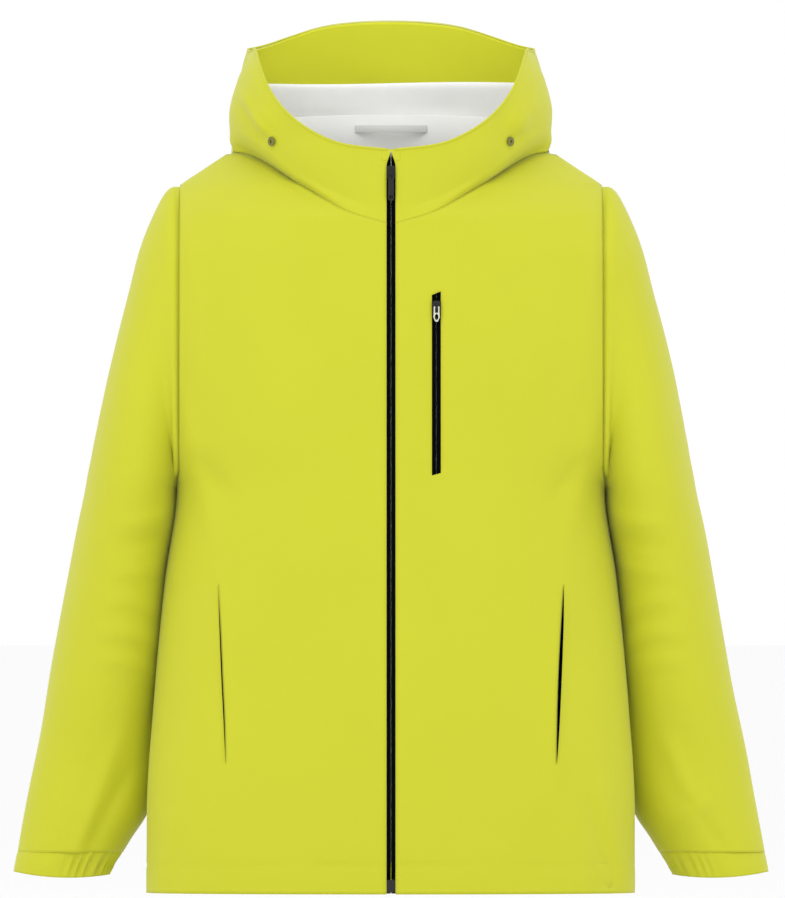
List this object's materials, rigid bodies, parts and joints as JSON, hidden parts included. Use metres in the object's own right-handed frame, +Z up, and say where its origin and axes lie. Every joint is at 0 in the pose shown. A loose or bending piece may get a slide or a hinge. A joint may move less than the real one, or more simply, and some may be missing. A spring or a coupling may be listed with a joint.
{
  "type": "hardshell jacket",
  "caption": "Hooded waterproof shell jacket with a full-length front zip, a zipped chest pocket, zipped hand pockets, elastic cuffs and a folded-down hood.",
  "frame": {"origin": "where a hook bears on the underside of the hang loop inside the back of the neck", "axes": "+X to the wearer's left, +Y from the front closure to the back, +Z up"},
  "size_m": [0.7206, 0.3026, 0.833],
  "materials": {
    "shell": "matte coated nylon",
    "backer": "smooth white knit backer",
    "zip_tape": "coated woven tape",
    "zip_coil": "satin",
    "slider": "satin black",
    "bright_metal": "satin",
    "fitting": "satin",
    "elastic": "covered elastic",
    "loop_tape": "woven tape"
  },
  "bodies": {
    "torso": {"front_panel_left": "shell", "front_panel_right": "shell", "back_panel": "shell", "sleeve_head_left": "shell", "sleeve_head_right": "shell", "hood_collar_left": "shell", "hood_collar_right": "shell", "hood_pouch": "shell", "hood_brim_facing": "shell", "main_zip_garage": "shell", "hand_pocket_welt_left": "shell", "hand_pocket_welt_right": "shell", "hem_facing": "shell", "hood_neck_panel": "backer", "storm_flap": "backer", "chest_pocket_bag": "backer", "hand_pocket_bag_left": "backer", "hand_pocket_bag_right": "backer", "chin_lining_left": "backer", "chin_lining_right": "backer", "neck_facing": "backer", "main_zip_tape_left": "zip_tape", "main_zip_tape_right": "zip_tape", "chest_zip_tape": "zip_tape", "hand_zip_tape_left": "zip_tape", "hand_zip_tape_right": "zip_tape", "main_zip_coil_left": "zip_coil", "main_zip_coil_right": "zip_coil", "chest_zip_coil": "zip_coil", "hand_zip_coil_left": "zip_coil", "hand_zip_coil_right": "zip_coil", "main_zip_top_stops": "zip_coil", "main_zip_retainer_box": "zip_coil", "main_zip_insertion_pin": "zip_coil", "hood_eyelet_left": "fitting", "hood_eyelet_right": "fitting", "hood_cord_lock_left": "fitting", "hood_cord_lock_right": "fitting", "hem_cord_lock_left": "fitting", "hem_cord_lock_right": "fitting", "hem_drawcord": "elastic", "hang_loop": "loop_tape"},
    "main_slider": {"main_zip_slider": "slider"},
    "main_puller": {"main_zip_puller": "slider"},
    "chest_slider": {"chest_zip_slider": "slider"},
    "chest_puller": {"chest_zip_puller": "bright_metal"},
    "hand_slider_left": {"hand_zip_slider_left": "slider"},
    "hand_slider_right": {"hand_zip_slider_right": "slider"},
    "arm_left": {"sleeve_left": "shell", "cuff_left": "shell", "cuff_elastic_left": "elastic"},
    "arm_right": {"sleeve_right": "shell", "cuff_right": "shell", "cuff_elastic_right": "elastic"},
    "hem_button_left": {"hem_lock_button_left": "fitting"},
    "hem_button_right": {"hem_lock_button_right": "fitting"},
    "hood_button_left": {"hood_lock_button_left": "fitting"},
    "hood_button_right": {"hood_lock_button_right": "fitting"}
  },
  "joints": [
    {"name": "main_zip_slide", "type": "slide", "parent": "torso", "child": "main_slider", "axis": [0, 0, -1], "range_m": [0, 0.655]},
    {"name": "main_puller_hinge", "type": "hinge", "parent": "main_slider", "child": "main_puller", "pos_m": [0, -0.17, -0.04], "axis": [-1, 0, 0], "range_deg": [0, 170]},
    {"name": "chest_zip_slide", "type": "slide", "parent": "torso", "child": "chest_slider", "axis": [0, 0, -1], "range_m": [0, 0.15]},
    {"name": "chest_puller_hinge", "type": "hinge", "parent": "chest_slider", "child": "chest_puller", "pos_m": [0.04313, -0.1687, -0.168], "axis": [-0.998, -0.0628, 0], "range_deg": [0, 165]},
    {"name": "hand_zip_slide_left", "type": "slide", "parent": "torso", "child": "hand_slider_left", "axis": [-0.0406, -0.0453, -0.9981], "range_m": [0, 0.145]},
    {"name": "hand_zip_slide_right", "type": "slide", "parent": "torso", "child": "hand_slider_right", "axis": [0.0406, -0.0453, -0.9981], "range_m": [0, 0.145]},
    {"name": "sleeve_lift_left", "type": "hinge", "parent": "torso", "child": "arm_left", "pos_m": [0.201, -0.046, -0.339], "axis": [0, -1, 0], "range_deg": [0, 40], "deforming": ["sleeve_head_left"]},
    {"name": "sleeve_lift_right", "type": "hinge", "parent": "torso", "child": "arm_right", "pos_m": [-0.201, -0.046, -0.339], "axis": [0, 1, 0], "range_deg": [0, 40], "deforming": ["sleeve_head_right"]},
    {"name": "hem_button_press_left", "type": "slide", "parent": "torso", "child": "hem_button_left", "axis": [0, 0, -1], "range_m": [0, 0.003], "stiffness_N_per_m": 300},
    {"name": "hem_button_press_right", "type": "slide", "parent": "torso", "child": "hem_button_right", "axis": [0, 0, -1], "range_m": [0, 0.003], "stiffness_N_per_m": 300},
    {"name": "hood_button_press_left", "type": "slide", "parent": "torso", "child": "hood_button_left", "axis": [0, 0, -1], "range_m": [0, 0.003], "stiffness_N_per_m": 300},
    {"name": "hood_button_press_right", "type": "slide", "parent": "torso", "child": "hood_button_right", "axis": [0, 0, -1], "range_m": [0, 0.003], "stiffness_N_per_m": 300}
  ]
}
